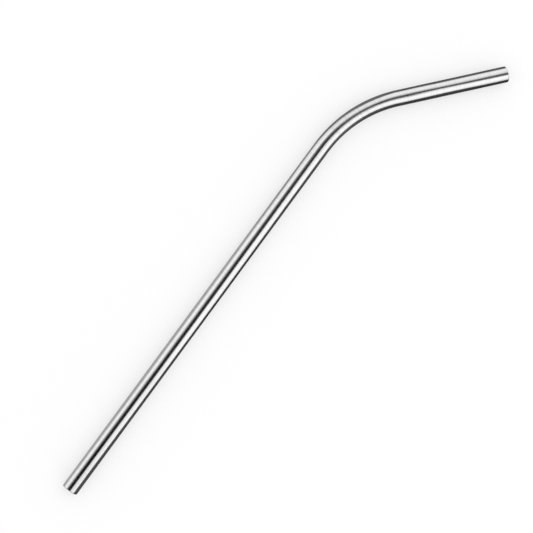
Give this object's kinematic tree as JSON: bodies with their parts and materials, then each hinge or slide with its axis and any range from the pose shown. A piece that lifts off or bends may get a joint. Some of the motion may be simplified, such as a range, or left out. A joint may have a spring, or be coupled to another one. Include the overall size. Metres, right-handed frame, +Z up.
{
  "type": "bent drinking straw",
  "caption": "Reusable stainless steel drinking straw: a slim polished tube with a long straight lower arm, one smooth bend and a short mouth arm, lying flat.",
  "frame": {"origin": "centre of the straw's bounding box, at its underside, on the surface it lies on", "axes": "+X along the lower arm from its tip towards the bend; the bend turns the upper arm towards -Y as seen from above; +Z up, square to the plane of the bend"},
  "size_m": [0.219, 0.0445, 0.006],
  "materials": {
    "steel": "polished, with a faint drawn grain"
  },
  "bodies": {
    "root": {"straw": "steel"}
  },
  "joints": []
}
